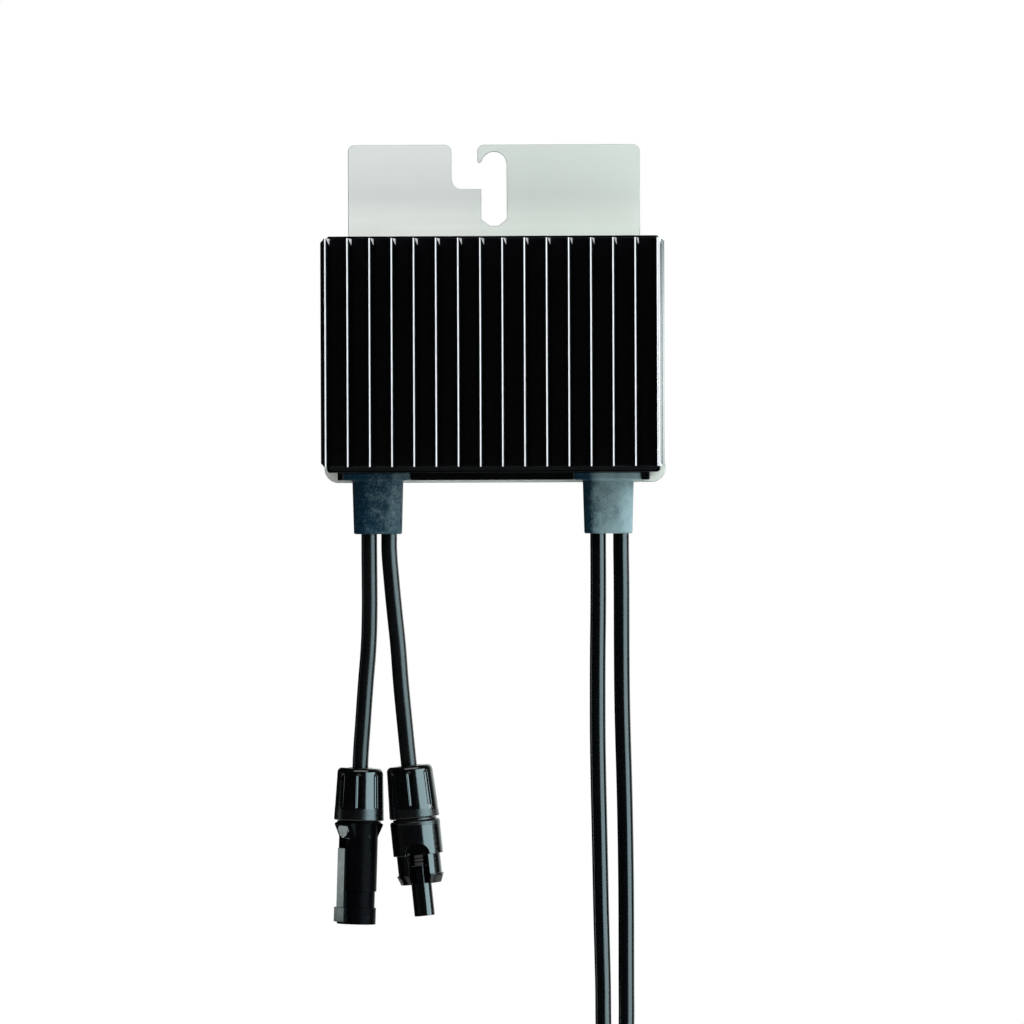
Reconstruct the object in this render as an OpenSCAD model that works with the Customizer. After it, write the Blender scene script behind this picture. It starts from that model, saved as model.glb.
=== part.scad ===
// Power optimizer: a finned converter box on a hook bracket, with two input
// leads and two output leads, each ending in a locking coupler.
// Millimetres. Origin at the bolt seat of the hook slot, on the bracket's back
// face. +Z is up, the fins face -Y, the bracket's back face is y = 0.

/* [Bracket] */
// Width of the hook tab above the body
tab_w = 110; // [90:1:114]
// Thickness of the bracket sheet
bracket_t = 2; // [1.5:0.1:3]
// Top edge of the tab above the bolt seat
tab_rise = 7.5; // [6.5:0.1:14]
// Bottom edge of the bracket below the bolt seat
bracket_drop = 119.8; // [115:0.1:130]
// Width of the hook slot
slot_w = 9.6; // [6.6:0.1:12]
// Foot of the slot below the bolt seat
slot_drop = 23.1; // [16:0.1:25]
// Slanted corners at the foot of the slot, across
slot_foot_cut = 3.2; // [1:0.1:4]
// Slanted corners at the foot of the slot, upwards
slot_foot_rise = 2.5; // [1:0.1:4]
// Width of the bolt's way in beside the hook
entry_w = 9.8; // [8:0.1:16]
// Ledge of the way in below the bolt seat
ledge_drop = 9.2; // [7:0.1:14]
// Width of the hook's finger
hook_t = 1.4; // [1:0.1:3]
// Tip of the hook's finger above the bolt seat
hook_tip = 0.6; // [0:0.1:2]
// Corner radius of the lower plate
bracket_corner_r = 5.3; // [2:0.1:8]
// Corner radius of the tab and of the hook
tab_corner_r = 2.6; // [1:0.1:4]

/* [Heat sink] */
// Overall width over the side walls
sink_w = 129; // [116:0.1:150]
// Length of the fins
sink_h = 85.3; // [80:0.1:87]
// Number of fins
fin_count = 16; // [8:1:18]
// Height of the fins in front of the plate
fin_h = 16; // [8:0.5:30]
// Thickness of a fin at its tip
fin_tip_t = 0.7; // [0.6:0.1:1.6]
// Thickness of a fin at its root
fin_root_t = 3; // [1.6:0.1:3.5]
// Thickness of the front plate
plate_t = 4; // [3.6:0.1:8]
// Cut corners of the front plate
plate_cut = 1.3; // [0.5:0.1:4]
// Slope of the front plate's long edges
plate_bevel = 0.8; // [0.4:0.1:0.9]
// Thickness of the side walls
side_t = 1.6; // [1.3:0.1:2.4]

/* [Housing] */
// Height of the housing
housing_h = 88.6; // [86:0.1:95]
// Depth of the housing
housing_d = 20; // [17:0.5:30]
// Wall of the housing
wall = 2.5; // [1.5:0.1:3]
// Rear wall of the housing
floor_t = 2.5; // [1.5:0.1:4]
// Cut corners of the housing
housing_cut = 0.8; // [0.5:0.1:4]
// Height of the gland ledge
ledge_h = 2.9; // [2:0.1:5]
// Thickness of the sealing frame
gasket_t = 1; // [0.5:0.1:2]
// Width of the sealing frame
gasket_w = 1.8; // [1:0.1:2]

/* [Board] */
// Thickness of the circuit board
board_t = 1.6; // [0.8:0.1:2.4]
// Height of the board's bosses
boss_h = 3; // [2:0.1:5]
// Height of the power transistors
transistor_h = 4.5; // [2:0.1:6]
// Thickness of the thermal pad
pad_t = 0.9; // [0.3:0.1:2]
// Height of the inductor
inductor_h = 12; // [8:0.5:12.5]
// Height of the capacitors
capacitor_h = 11; // [6:0.5:12]

/* [Glands] */
// Width of a gland's outer body
gland_w = 19.2; // [16:0.1:20]
// Depth of a gland's outer body
gland_d = 13; // [11:0.1:15]
// Length of a gland's outer body
gland_l = 20.2; // [12:0.1:30]
// Narrowing of the gland towards its end
gland_taper = 1.1; // [0.2:0.1:2]
// Width of a gland's flange
flange_w = 25; // [22:0.1:26]
// Depth of a gland's flange
flange_d = 15; // [13.5:0.1:16]

/* [Leads] */
// Outside diameter of a lead
lead_d = 6; // [5:0.1:6]
// Spacing of the two input leads at their gland
input_pitch = 7.5; // [6.3:0.1:9]
// Spacing of the two output leads at their gland
output_pitch = 8.6; // [6.3:0.1:9]
// Diameter of the coil at the middle of its turns
coil_d = 69.6; // [60:0.1:72]

/* [Couplers] */
// Length of a cap nut
nut_l = 19.7; // [16:0.1:22]
// Outside diameter of a cap nut at its foot
nut_d = 18.8; // [18:0.1:19]
// Number of grip flutes on a cap nut
flute_count = 8; // [6:1:12]
// Outside diameter of the shell
shell_d = 14.6; // [14:0.1:16]
// Length of the shell below the cap nut
shell_l = 39; // [37:0.1:50]
// Diameter of the probe
probe_d = 7.7; // [7.2:0.1:8]
// Length of the probe coupler below the cap nut
probe_l = 37; // [34:0.1:45]
// Diameter of the pin contact
pin_d = 4; // [3:0.1:4.2]

/* [Hidden] */
$fn = 48;
eps = 0.01;

// Clearances
slip = 0.15;
seat_gap = 0.3;
thread_gap = 0.05;
side_gap = 0.45;

// Widths that follow the overall width
bracket_inset = 0.25;
bracket_w = sink_w - 2 * bracket_inset;
fin_inset = 2.48;
fin_pitch = (sink_w - 2 * fin_inset) / (fin_count - 1);
housing_w = sink_w - 2 * (side_t + side_gap);
ledge_inset = 3.95;
ledge_w = housing_w - 2 * ledge_inset;

// Places in depth, from the bracket's back face towards the fin tips
housing_back = -bracket_t;
floor_y = housing_back - floor_t;
board_back = floor_y - boss_h;
board_front = board_back - board_t;
rim_y = housing_back - housing_d;
plate_back = rim_y - gasket_t;
plate_front = plate_back - plate_t;
fin_tip_y = plate_front - fin_h;
pad_back = board_front - transistor_h;
pedestal_y = pad_back - pad_t;
lead_y = (housing_back + plate_back) / 2;

// Places in height, below the bolt seat
ledge_rise = 1;
ledge_foot = ledge_rise - bracket_drop;
housing_foot = ledge_foot + ledge_h;
housing_top = housing_foot + housing_h;
cavity_foot = housing_foot + wall;
cavity_top = housing_top - wall;
sink_rise = 2.2;
sink_foot = housing_foot + sink_rise;
sink_top = sink_foot + sink_h;
gland_foot = ledge_foot - gland_l;
shoulder_drop = 2.2;
shoulder_top = housing_top - shoulder_drop;

// Cavity of the housing
cavity_w = housing_w - 2 * wall;

// Screws that hold bracket, housing and heat sink together
screw_r = 1.5;
screw_head_r = 2.8;
screw_skin = 0.6;
screw_bite = plate_t - screw_skin;
pillar_r = 3.5;
pillar_sunk = 0.2;
pillar_x = cavity_w / 2 - pillar_r + pillar_sunk;
pillar_inset = 5.8;
pillar_z = [cavity_foot + pillar_inset, cavity_top - pillar_inset];
screw_places = [for (x = [-pillar_x, pillar_x], z = pillar_z) [x, z]];

// Board, its bosses and screws
board_edge = 1;
board_rise = 3;
board_w = cavity_w - 2 * board_edge;
board_foot = cavity_foot + board_rise;
board_top = cavity_top - board_edge;
board_h = board_top - board_foot;
capacitor_w = 14;
capacitor_l = 9;
capacitor_edge = 5.65;
capacitor_x = board_w / 2 - capacitor_edge - capacitor_w / 2;
capacitor_rise = [for (part = [0.2, 0.375, 0.55]) part * board_h];
boss_r = 3;
boss_gap = 2;
board_screw_r = 1.25;
boss_x = capacitor_x - capacitor_w / 2 - boss_gap;
boss_z = [board_foot + 0.175 * board_h, board_top - 0.125 * board_h];
boss_places = [for (x = [-boss_x, boss_x], z = boss_z) [x, z]];

// Power stage on the board
transistor_w = 10;
transistor_l = 12;
transistor_pitch = 14;
transistor_x = [for (i = [-1.5 : 1.5]) i * transistor_pitch];
transistor_z = board_foot + 0.375 * board_h;
pad_edge = 2;
pedestal_w = 3 * transistor_pitch + transistor_w + 2 * pad_edge;
pedestal_l = transistor_l + 2 * pad_edge;
inductor_w = 26;
inductor_l = 26;
inductor_z = board_foot + 0.7 * board_h;
limb_r = 5;
limb_t = 2;
yoke_t = 2.4;
winding_r = 10;
chip_w = 12;
chip_t = 1.4;
chip_z = board_foot + 0.125 * board_h;
terminal_w = 6.4;
terminal_l = 9;
core_r = 1.3;

// Glands
ledge_end = 2.7;
gland_x = ledge_w / 2 - ledge_end - flange_w / 2;
gland_shift = -0.45;
neck_in = 1;
neck_w = gland_w - 2 * neck_in;
neck_d = gland_d - 2 * neck_in;
inner_flange_t = 1.5;
input_x = [for (s = [-1, 1]) -gland_x + s * input_pitch / 2];
output_x = [for (s = [-1, 1]) gland_x + s * output_pitch / 2];

// Cap nut and cable seal
nut_top_d = nut_d - 1.6;
nut_dome = 1.9;
nut_foot_cut = 0.3;
nut_bore_r = 7.1;
nut_roof = 3.2;
nut_hole_r = 4.8;
nut_recess = 0.8;
flute_r = 1.1;
flute_out = 0.25;
flute_start = 3;
flute_band = 4.8;
seal_r = nut_bore_r - slip;
seal_t = 3;
spigot_top = nut_roof + seal_t;
spigot_r = nut_bore_r - slip;
neck_l = 0.9;
neck_r = 8.2;
body_top = nut_l + neck_l;
lead_bite = spigot_top - thread_gap;

// Contacts
crimp_r = 2.7;
pin_r = pin_d / 2;
pin_back = 6.5;
pin_tip = nut_l + shell_l - pin_back;
crimp_l = 6;
pin_seat = body_top + crimp_l;
pin_web = 3;
pin_nose = 1.2;
pin_nose_r = 0.6 * pin_r;
socket_r = 2.8;
socket_bore_r = pin_r + thread_gap;
socket_bore_l = 18;
mouth_lip = 1.1;

// Shell coupler
shell_r = shell_d / 2;
shell_bore_gap = 0.25;
shell_bore_r = probe_d / 2 + shell_bore_gap;
collar_l = 5.2;
collar_r = nut_d / 2 - 0.2;
collar_edge = 0.6;
collar_half_depth = 5.2;
facet_w = 7.6;
facet_in = 0.1;
shell_waist = 0.55;
ring_l = 6.2;
waist_l = 6.2;
rail_w = 4.6;
rail_out = shell_r + 0.5;
rail_l = 27.7;
rail_rise = 0.8;
rail_foot_l = 5.5;
rail_foot_w = 6.4;
rail_foot_out = 0.4;
window_w = 6.5;
window_l = 3.4;
window_drop = 0.6;
window_in = 2.3;

// Probe coupler
block_l = 13;
block_r = nut_d / 2;
block_edge = 0.6;
arch_r = 4.6;
probe_r = probe_d / 2;
finger_r = 8.2;
finger_t = 1.6;
finger_l = 11;
finger_span = 124;
barb_out = 0.6;
barb_l = 3.6;
barb_lip = 0.5;
barb_nose = 0.6;
probe_collar_r = 5.1;
probe_collar_l = 4.2;
probe_step = 0.5;

// A place under a gland's middle: s picks the gland, then how far right, in
// front of the leads' own depth and below the gland's foot
function under(s, right, front, drop) = [s * gland_x + right, lead_y - front, gland_foot - drop];

// Where the couplers hang: top of the cap nut, lean and turn about their axis
input_shell_at = under(-1, -7.4, 0, 87.8);
input_shell_lean = 1.8;
input_shell_turn = 38;
input_probe_at = under(-1, 10.9, 0, 87);
input_probe_lean = -5.8;
output_shell_at = under(1, 1.7, 20.9, 323.5);
output_probe_at = under(1, 1.7, 1.1, 323.5);

// Coil of the output leads, in the plane of the bracket
turn_gap = 0.2;
turn_step = lead_d + turn_gap;
coil_out_r = coil_d / 2 + turn_step / 2;
coil_at = under(1, 1.8, 15.1, 263.5) - [coil_out_r, 0, 0];
coil_stub = 26;
tie_t = 1;
tie_w = 5;
tie_head = 4.5;

function axis_point(at, lean, down) = at + down * [-sin(lean), 0, -cos(lean)];
function below(at, drop) = at - [0, 0, drop];

// Where the leads leave the glands, and where they run into and out of the coil
lead_start = 6;
coil_start = 5;
nut_start = 4;
input_exit = [for (x = input_x) [x, lead_y, gland_foot]];
output_exit = [for (x = output_x) [x, lead_y, gland_foot]];
function coil_end(layer, rise) = coil_at + [coil_out_r, layer * turn_step, rise];

// Routes of the leads
input_left_route = [
    input_exit[0], below(input_exit[0], lead_start),
    under(-1, -3.7, 0, 16.5), under(-1, -3.7, 0, 28.5), under(-1, -4.1, 0, 41.5),
    under(-1, -5.3, 0, 56.5), under(-1, -6.4, 0, 71.5),
    axis_point(input_shell_at, input_shell_lean, -nut_start),
    axis_point(input_shell_at, input_shell_lean, lead_bite)
];
input_right_route = [
    input_exit[1], below(input_exit[1], lead_start),
    under(-1, 4.5, 0, 16.5), under(-1, 5.6, 0, 28.5), under(-1, 6.9, 0, 41.5),
    under(-1, 8, 0, 56.5), under(-1, 9.2, 0, 69.5),
    axis_point(input_probe_at, input_probe_lean, -nut_start),
    axis_point(input_probe_at, input_probe_lean, lead_bite)
];
output_left_route = [
    output_exit[0], below(output_exit[0], lead_start),
    under(1, -4.3, 0, 17.5), under(1, -4.4, 0, 31.5), under(1, -4.6, 0, 45.5),
    under(1, -4.7, 0, 61.5), under(1, -4.7, 0.1, 77.5), under(1, -4.5, 0.3, 93.5),
    under(1, -4.2, 1, 109.5), under(1, -3.9, 2.2, 125.5), under(1, -3.6, 3.9, 141.5),
    under(1, -3.2, 6, 157.5), under(1, -2.9, 8, 170.5), under(1, -2.8, 10, 182.5),
    under(1, -2.5, 11.9, 193.5), under(1, -1.8, 13.8, 204), under(1, -0.7, 15.5, 214),
    under(1, 0.7, 17.2, 224),
    coil_end(-0.5, coil_stub + coil_start), coil_end(-0.5, coil_stub)
];
output_right_route = [
    output_exit[1], below(output_exit[1], lead_start),
    under(1, 4.4, 0, 17.5), under(1, 4.4, 0, 31.5), under(1, 4.4, 0, 45.5),
    under(1, 4.5, 0, 61.5), under(1, 4.8, 0.1, 77.5), under(1, 5.2, 0.2, 93.5),
    under(1, 5.5, 0.7, 109.5), under(1, 5.7, 1.4, 125.5), under(1, 5.8, 2.4, 141.5),
    under(1, 5.8, 3.6, 157.5), under(1, 5.8, 4.8, 170.5), under(1, 5.8, 6, 182.5),
    under(1, 5.5, 7.2, 193.5), under(1, 4.8, 8.5, 204), under(1, 3.7, 9.8, 214),
    under(1, 2.6, 11.1, 224),
    coil_end(0.5, coil_stub + coil_start), coil_end(0.5, coil_stub)
];
output_left_tail_route = [
    coil_end(-1.5, -coil_stub), coil_end(-1.5, -coil_stub - coil_start),
    under(1, 1.8, 22.9, 305.5),
    below(output_shell_at, -nut_start), below(output_shell_at, lead_bite)
];
output_right_tail_route = [
    coil_end(1.5, -coil_stub), coil_end(1.5, -coil_stub - coil_start),
    under(1, 1.8, 3.7, 305.5),
    below(output_probe_at, -nut_start), below(output_probe_at, lead_bite)
];

// Flat shapes

module rounded_rect(w, h, r) {
    square([w - 2 * r, h], center = true);
    square([w, h - 2 * r], center = true);
    for (x = [-1, 1], y = [-1, 1])
        translate([x * (w / 2 - r), y * (h / 2 - r)]) circle(r);
}

module cut_rect(w, h, cut) {
    polygon([
        [-w / 2 + cut, -h / 2], [w / 2 - cut, -h / 2], [w / 2, -h / 2 + cut], [w / 2, h / 2 - cut],
        [w / 2 - cut, h / 2], [-w / 2 + cut, h / 2], [-w / 2, h / 2 - cut], [-w / 2, -h / 2 + cut]
    ]);
}

module oval(w, d) {
    square([w - d, d], center = true);
    for (x = [-1, 1]) translate([x * (w - d) / 2, 0]) circle(d / 2);
}

// What is cut away to round a corner whose two sides run along +X and +Y
module corner_waste(r) {
    difference() {
        translate([-eps, -eps]) square(r + eps);
        translate([r, r]) circle(r);
    }
}

// A shape drawn in X and Z, given thickness from y_near towards -Y
module plate(y_near, t) {
    translate([0, y_near, 0]) rotate([90, 0, 0]) linear_extrude(t) children();
}

module block(x, y, z) {
    translate([x[0], y[0], z[0]]) cube([x[1] - x[0], y[1] - y[0], z[1] - z[0]]);
}

// Two limits about a middle, and two limits above a foot
function about(middle, size) = [middle - size / 2, middle + size / 2];
function above(foot, size) = [foot, foot + size];

// A round bar along Y
module bar(at, y_near, y_far, r) {
    translate([at[0], y_near, at[1]]) rotate([90, 0, 0]) cylinder(h = y_near - y_far, r = r);
}

// Tube swept along a route that runs downwards

function unit(v) = v / norm(v);
function tangent(p, i) =
    i == 0 ? unit(p[1] - p[0])
    : i == len(p) - 1 ? unit(p[i] - p[i - 1])
    : unit(unit(p[i + 1] - p[i]) + unit(p[i] - p[i - 1]));
function ring_point(at, t, r, a) =
    let (side = unit(cross(t, [0, 1, 0])), other = cross(side, t))
    at + r * (cos(a) * side + sin(a) * other);

module tube(route, r, sides = 10) {
    rings = len(route);
    points = [for (i = [0 : rings - 1], k = [0 : sides - 1])
        ring_point(route[i], tangent(route, i), r, 360 * k / sides)];
    walls = [for (i = [0 : rings - 2], k = [0 : sides - 1])
        let (n = (k + 1) % sides)
        [i * sides + k, i * sides + n, (i + 1) * sides + n, (i + 1) * sides + k]];
    top = [for (k = [sides - 1 : -1 : 0]) k];
    foot = [for (k = [0 : sides - 1]) (rings - 1) * sides + k];
    polyhedron(points, concat(walls, [top, foot]));
}

// Bracket and case

module slot_shape() {
    side = slot_w / 2;
    circle(side);
    polygon([
        [-side, 0], [-side, slot_foot_rise - slot_drop], [slot_foot_cut - side, -slot_drop],
        [side - slot_foot_cut, -slot_drop], [side, slot_foot_rise - slot_drop], [side, 0]
    ]);
}

// The way in: down beside the hook, along the ledge and under the hook's tip
module entry_shape() {
    hook_out = -slot_w / 2 - hook_t;
    entry_out = hook_out - entry_w;
    fillet_r = 4;
    tip_r = hook_t / 2;
    difference() {
        translate([entry_out, -ledge_drop]) square([entry_w, ledge_drop + tab_rise + 1]);
        translate([entry_out, -ledge_drop]) corner_waste(fillet_r);
    }
    difference() {
        translate([hook_out - eps, -ledge_drop])
            square([hook_t + slot_w / 2, ledge_drop + hook_tip + tip_r]);
        translate([hook_out + tip_r, hook_tip + tip_r]) circle(tip_r);
    }
    translate([entry_out, tab_rise]) mirror([1, 0]) mirror([0, 1]) corner_waste(tab_corner_r);
    translate([hook_out, tab_rise]) mirror([0, 1]) corner_waste(tab_corner_r);
}

module bracket_outline() {
    tab_h = tab_rise - shoulder_top + bracket_corner_r * 2;
    plate_h = bracket_drop + shoulder_top;
    translate([0, tab_rise - tab_h / 2]) rounded_rect(tab_w, tab_h, tab_corner_r);
    translate([0, plate_h / 2 - bracket_drop]) rounded_rect(bracket_w, plate_h, bracket_corner_r);
}

module mounting_bracket() {
    color("silver") difference() {
        plate(0, bracket_t) difference() {
            bracket_outline();
            slot_shape();
            entry_shape();
        }
        for (at = screw_places) {
            bar(at, 1, -bracket_t - 1, screw_r + slip);
            screw_head(at, slip);
        }
    }
}

// Countersunk head, flush with the bracket's back face
module screw_head(at, gap) {
    r = screw_head_r + gap;
    translate([at[0], 0, at[1]]) rotate([90, 0, 0]) cylinder(h = r, r1 = r, r2 = 0);
}

module case_screws() {
    color("dimgray") for (at = screw_places) {
        difference() {
            union() {
                bar(at, 0, plate_back - screw_bite + seat_gap, screw_r);
                screw_head(at, 0);
            }
            bar(at, 1, -1.2, 0.9, $fn = 6);
        }
    }
}

module housing_shape() {
    translate([0, housing_foot + housing_h / 2]) cut_rect(housing_w, housing_h, housing_cut);
}

module cavity_shape() {
    h = cavity_top - cavity_foot;
    translate([0, cavity_foot + h / 2]) rounded_rect(cavity_w, h, 2);
}

module rear_housing() {
    pocket = flange_w + 2 * slip;
    pocket_back = lead_y + flange_d / 2 + slip;
    ledge_front = rim_y + 1;
    color("black") difference() {
        union() {
            difference() {
                plate(housing_back, housing_d) housing_shape();
                plate(floor_y, housing_d) cavity_shape();
            }
            block(about(0, ledge_w), [ledge_front, housing_back], [ledge_foot, housing_foot + eps]);
            for (at = screw_places) bar(at, housing_back - 1, rim_y, pillar_r);
            for (at = boss_places) bar(at, floor_y + 1, board_back, boss_r);
        }
        for (at = screw_places) bar(at, 1, rim_y - 1, screw_r + slip);
        for (at = boss_places) bar(at, floor_y, board_back - 1, board_screw_r + thread_gap);
        for (s = [-1, 1]) translate([s * gland_x + gland_shift, 0, 0]) {
            block(about(0, pocket), [ledge_front - 1, pocket_back], [ledge_foot - 1, housing_foot]);
            translate([0, lead_y, ledge_foot]) linear_extrude(ledge_h + wall + 1)
                oval(neck_w + 2 * slip, neck_d + 2 * slip);
        }
    }
}

module sealing_frame() {
    h = cavity_top - cavity_foot;
    color("gray") difference() {
        plate(rim_y, gasket_t) difference() {
            translate([0, cavity_foot + h / 2]) rounded_rect(cavity_w + 2 * gasket_w, h + 2 * gasket_w, 2);
            cavity_shape();
        }
        for (at = screw_places) bar(at, 1, plate_back - 1, screw_r + slip);
    }
}

// Section across the fins: plate, side walls and tapered fins
module sink_section() {
    half = sink_w / 2;
    side_back = housing_back - seat_gap;
    polygon([
        [-half, plate_front + plate_bevel], [-half + plate_bevel, plate_front],
        [half - plate_bevel, plate_front], [half, plate_front + plate_bevel],
        [half, side_back], [half - side_t, side_back], [half - side_t, plate_back],
        [-half + side_t, plate_back], [-half + side_t, side_back], [-half, side_back]
    ]);
}

module fin_section() {
    polygon([
        [-fin_root_t / 2, plate_front + eps], [-fin_tip_t / 2, fin_tip_y],
        [fin_tip_t / 2, fin_tip_y], [fin_root_t / 2, plate_front + eps]
    ]);
}

module heat_sink() {
    mid_z = sink_foot + sink_h / 2;
    color([0.03, 0.03, 0.04]) difference() {
        union() {
            intersection() {
                translate([0, 0, sink_foot]) linear_extrude(sink_h) sink_section();
                plate(0, -fin_tip_y) translate([0, mid_z]) cut_rect(sink_w, sink_h, plate_cut);
            }
            for (i = [0 : fin_count - 1])
                translate([(i - (fin_count - 1) / 2) * fin_pitch, 0, sink_foot])
                    linear_extrude(sink_h) fin_section();
            block(about(0, pedestal_w), [plate_back - 1, pedestal_y], about(transistor_z, pedestal_l));
        }
        for (at = screw_places) bar(at, plate_back + 1, plate_back - screw_bite, screw_r + thread_gap);
    }
}

// Inside the case

module circuit_board() {
    color("darkgreen") difference() {
        plate(board_back, board_t) translate([0, (board_foot + board_top) / 2])
            rounded_rect(board_w, board_top - board_foot, 1.5);
        for (at = screw_places) bar(at, 0, rim_y, pillar_r + seat_gap);
        for (at = boss_places) bar(at, 0, rim_y, board_screw_r + slip);
    }
}

module board_screws() {
    color("lightgray") for (at = boss_places) {
        bar(at, floor_y - 0.3, board_front, board_screw_r);
        bar(at, board_front, board_front - 1.5, board_screw_r + 1);
    }
}

module power_transistors() {
    color([0.12, 0.12, 0.12]) for (x = transistor_x)
        block(about(x, transistor_w), [pad_back, board_front], about(transistor_z, transistor_l));
}

module thermal_pad() {
    color("lightblue")
        block(about(0, pedestal_w), [pedestal_y, pad_back], about(transistor_z, pedestal_l));
}

// Pot core: two yokes, two outer limbs and a round middle limb
module inductor_core() {
    front = board_front - inductor_h;
    color([0.25, 0.25, 0.27]) {
        difference() {
            block(about(0, inductor_w), [front, board_front], about(inductor_z, inductor_l));
            block(about(0, inductor_w + 2), [front + yoke_t, board_front - yoke_t],
                about(inductor_z, inductor_l - 2 * limb_t));
        }
        bar([0, inductor_z], board_front - 1, front + 1, limb_r);
    }
}

module inductor_winding() {
    window = inductor_h - 2 * yoke_t;
    color("orange") translate([0, board_front - yoke_t, inductor_z]) rotate([90, 0, 0])
        difference() {
            cylinder(h = window, r = winding_r);
            translate([0, 0, -1]) cylinder(h = window + 2, r = limb_r + seat_gap);
        }
}

module capacitor_row(x) {
    for (rise = capacitor_rise)
        block(about(x, capacitor_w), [board_front - capacitor_h, board_front],
            above(board_foot + rise, capacitor_l));
}

module input_capacitors() {
    color("goldenrod") capacitor_row(-capacitor_x);
}

module output_capacitors() {
    color("goldenrod") capacitor_row(capacitor_x);
}

module control_chip() {
    color([0.1, 0.1, 0.1])
        block(about(0, chip_w), [board_front - chip_t, board_front], about(chip_z, chip_w));
}

module board_terminals() {
    reach = 2 * (board_front - lead_y);
    color("tan") for (x = concat(input_x, output_x)) difference() {
        block(about(x, terminal_w), [board_front - reach, board_front],
            above(board_foot + 1, terminal_l));
        translate([x, lead_y, board_foot]) cylinder(h = terminal_l, r = core_r + thread_gap);
    }
}

// Bared ends of the leads, from the glands into the board's terminals
module lead_cores() {
    foot = cavity_foot + inner_flange_t;
    color("peru") for (x = concat(input_x, output_x))
        translate([x, lead_y, foot]) cylinder(h = board_foot + terminal_l - foot - 1, r = core_r);
}

// Tapered oval body, flange in the ledge's pocket, neck through the wall, and
// an inner flange that holds it there
module gland(s) {
    color([0.2, 0.27, 0.32]) translate([s * gland_x + gland_shift, lead_y, 0]) {
        hull() {
            translate([0, 0, ledge_foot - eps]) linear_extrude(eps) oval(gland_w, gland_d, $fn = 32);
            translate([0, 0, gland_foot]) linear_extrude(eps)
                oval(gland_w - gland_taper, gland_d - gland_taper, $fn = 32);
        }
        block(about(0, flange_w), about(0, flange_d), [ledge_foot - eps, housing_foot]);
        translate([0, 0, housing_foot - eps]) linear_extrude(wall + 2 * eps) oval(neck_w, neck_d);
        translate([0, 0, cavity_foot]) linear_extrude(inner_flange_t)
            oval(gland_w, gland_d);
    }
}

module input_gland() {
    gland(-1);
}

module output_gland() {
    gland(1);
}

// Leads and coil

module lead(route) {
    color([0.08, 0.08, 0.09]) tube(route, lead_d / 2);
}

module input_left_lead() { lead(input_left_route); }
module input_right_lead() { lead(input_right_route); }
module output_left_lead() { lead(output_left_route); }
module output_right_lead() { lead(output_right_route); }
module output_left_tail() { lead(output_left_tail_route); }
module output_right_tail() { lead(output_right_tail_route); }

// Two layers of turns, with the straight ends that run in and out of them
module coil(s) {
    axial = 2 * turn_step - turn_gap / 2;
    color([0.08, 0.08, 0.09]) translate(coil_at) {
        rotate([90, 0, 0]) rotate_extrude()
            translate([coil_d / 2 - turn_step, -s * turn_step - axial / 2]) square([2 * turn_step, axial]);
        translate([coil_out_r, s * turn_step / 2, 0]) cylinder(h = coil_stub, r = lead_d / 2);
        translate([coil_out_r, s * turn_step * 1.5, -coil_stub]) cylinder(h = coil_stub, r = lead_d / 2);
    }
}

module output_left_coil() { coil(-1); }
module output_right_coil() { coil(1); }

module coil_tie() {
    inner = [2 * turn_step + 2 * seat_gap, 4 * turn_step + 2 * seat_gap];
    outer = inner + 2 * [tie_t, tie_t];
    color("black") translate(coil_at - [coil_d / 2, 0, 0]) {
        translate([0, 0, -tie_w / 2]) linear_extrude(tie_w) difference() {
            rounded_rect(outer[0], outer[1], 1.5);
            square(inner, center = true);
        }
        translate([0, -outer[1] / 2, 0])
            block(about(0, tie_head), [-tie_head + 1, eps], about(0, tie_w + 1.2));
    }
}

// Couplers, drawn with the cap nut's top at the origin and the mouth downwards

module hang(at, lean = 0, turn = 0) {
    translate(at) rotate([0, lean, 0]) rotate([0, 0, turn]) children();
}

// Domed and tapered, with long grip flutes that follow the taper
module cap_nut() {
    foot_r = nut_d / 2;
    top_r = nut_top_d / 2;
    lean = atan((foot_r - top_r) / (nut_l - nut_dome));
    flute_l = nut_l - flute_band - flute_start;
    color([0.07, 0.07, 0.08]) difference() {
        rotate_extrude() difference() {
            union() {
                polygon([
                    [0, -nut_l], [foot_r - nut_foot_cut, -nut_l], [foot_r, -nut_l + nut_foot_cut],
                    [top_r, -nut_dome], [0, -nut_dome]
                ]);
                translate([0, -nut_dome]) square([top_r - nut_dome, nut_dome]);
                intersection() {
                    translate([top_r - nut_dome, -nut_dome]) circle(nut_dome);
                    translate([0, -nut_dome - eps]) square([top_r, nut_dome + eps]);
                }
            }
            translate([0, -nut_l - 1]) square([nut_bore_r, nut_l + 1 - nut_roof]);
            translate([0, -nut_roof - 1]) square([nut_hole_r, nut_roof + 2]);
        }
        for (i = [0 : flute_count - 1]) rotate([0, 0, i * 360 / flute_count])
            translate([foot_r + flute_out, 0, -nut_l + flute_band]) rotate([0, -lean, 0]) {
                cylinder(h = flute_l, r = flute_r);
                translate([0, 0, flute_l]) sphere(flute_r);
            }
    }
}

module cable_seal() {
    color([0.15, 0.15, 0.15]) difference() {
        union() {
            translate([0, 0, -nut_roof - eps]) cylinder(h = nut_roof - nut_recess, r = nut_hole_r - slip);
            translate([0, 0, -spigot_top]) cylinder(h = seal_t, r = seal_r);
        }
        translate([0, 0, -spigot_top - 1]) cylinder(h = spigot_top + 2, r = lead_d / 2 + slip);
    }
}

// The threaded part that the cap nut closes over, and the shoulder below it
module spigot() {
    translate([0, 0, -body_top - eps]) cylinder(h = body_top - spigot_top + eps, r = spigot_r);
    translate([0, 0, -body_top - eps]) cylinder(h = neck_l - seat_gap + eps, r = neck_r);
}

module crimp_bore(depth) {
    translate([0, 0, -depth]) cylinder(h = depth, r = crimp_r + slip);
}

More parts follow.
